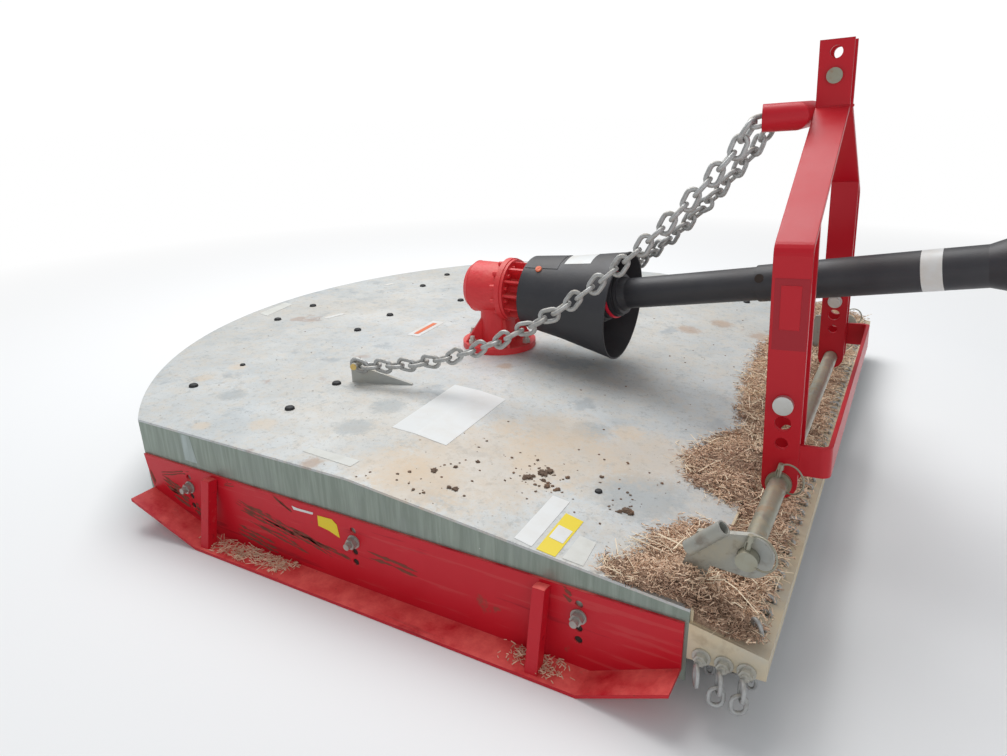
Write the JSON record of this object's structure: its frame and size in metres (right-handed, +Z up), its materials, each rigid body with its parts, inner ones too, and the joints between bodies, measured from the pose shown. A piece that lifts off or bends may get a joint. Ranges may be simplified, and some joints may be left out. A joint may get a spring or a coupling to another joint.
{
  "type": "rotary slasher",
  "caption": "Three-point-hitch rotary slasher: galvanised rounded deck, red headstock, gearbox and guarded drive shaft, swinging blades below, chain curtain in front.",
  "frame": {"origin": "centre of the bounding box on the ground, z = 0 at the soles of the skids", "axes": "+X forward, towards the tractor; +Y to the left; +Z up"},
  "size_m": [2.7478, 2.41, 1.1787],
  "materials": {
    "galvanised": "weathered hot-dip galvanising",
    "zinc": "yellowish zinc plating",
    "chain_steel": "dull galvanised chain",
    "red_paint": "semi-gloss, scuffed",
    "red_casting": "semi-gloss paint over rough casting",
    "black_plastic": "matt",
    "dark_steel": "bare steel, browned"
  },
  "bodies": {
    "frame": {"deck_plate": "galvanised", "side_wall_right": "galvanised", "side_wall_left": "galvanised", "rear_skirt": "galvanised", "deck_underframe": "galvanised", "front_shelf": "galvanised", "shelf_end_right": "galvanised", "shelf_end_left": "galvanised", "chain_rods": "zinc", "chain_row_rear": "chain_steel", "chain_row_middle": "chain_steel", "chain_row_front": "chain_steel", "skid_right": "red_paint", "skid_left": "red_paint", "skid_bolts_right": "zinc", "skid_bolts_left": "zinc", "hitch_bracket_right": "galvanised", "hitch_bracket_left": "galvanised", "cross_shaft": "zinc", "chain_lug_right": "galvanised", "chain_lug_left": "galvanised", "lift_chain_right": "chain_steel", "lift_chain_left": "chain_steel", "gearbox_housing": "red_casting", "gearbox_foot_bolts": "zinc", "gearbox_cover": "red_casting", "shaft_guard": "black_plastic", "guard_tube_inner": "black_plastic", "guard_tube_outer": "black_plastic"},
    "headstock": {"headstock_leg_right": "red_paint", "headstock_leg_left": "red_paint", "headstock_stirrup": "red_paint", "chain_tube": "red_paint", "lower_link_pin_right": "zinc", "lower_link_pin_left": "zinc", "top_link_pin": "zinc"},
    "input_shaft": {"input_yoke": "dark_steel"},
    "driveline": {"drive_shaft": "dark_steel", "end_yoke": "dark_steel"},
    "rotor": {"rotor_hub": "dark_steel", "rotor_pan": "dark_steel", "blade_bolts": "dark_steel"},
    "blade_1": {"blade_1": "dark_steel"},
    "blade_2": {"blade_2": "dark_steel"},
    "blade_3": {"blade_3": "dark_steel"}
  },
  "joints": [
    {"name": "rotor_spin", "type": "hinge", "parent": "frame", "child": "rotor", "pos_m": [-0.24405, -0.14, 0.2], "axis": [0, 0, 1], "continuous": true},
    {"name": "input_spin", "type": "hinge", "parent": "frame", "child": "input_shaft", "pos_m": [0.05595, -0.14, 0.486], "axis": [1, 0, 0], "continuous": true},
    {"name": "driveline_spin", "type": "hinge", "parent": "frame", "child": "driveline", "pos_m": [0.05595, -0.14, 0.486], "axis": [0.9745, -0.1109, 0.1949], "continuous": true},
    {"name": "headstock_hinge", "type": "hinge", "parent": "frame", "child": "headstock", "pos_m": [0.77895, -0.305, 0.321], "axis": [0, 1, 0], "range_deg": [-30, 4], "deforming": ["lift_chain_right", "lift_chain_left"]},
    {"name": "blade_1_swing", "type": "hinge", "parent": "rotor", "child": "blade_1", "pos_m": [0.18595, -0.14, 0.105], "axis": [0, 0, 1], "range_deg": [-60, 60]},
    {"name": "blade_2_swing", "type": "hinge", "parent": "rotor", "child": "blade_2", "pos_m": [-0.45905, 0.23239, 0.105], "axis": [0, 0, 1], "range_deg": [-60, 60]},
    {"name": "blade_3_swing", "type": "hinge", "parent": "rotor", "child": "blade_3", "pos_m": [-0.45905, -0.51239, 0.105], "axis": [0, 0, 1], "range_deg": [-60, 60]}
  ],
  "couplings": [
    {"joint": "input_spin", "follows": "rotor_spin", "ratio": 0.51814},
    {"joint": "driveline_spin", "follows": "rotor_spin", "ratio": 0.51814}
  ]
}
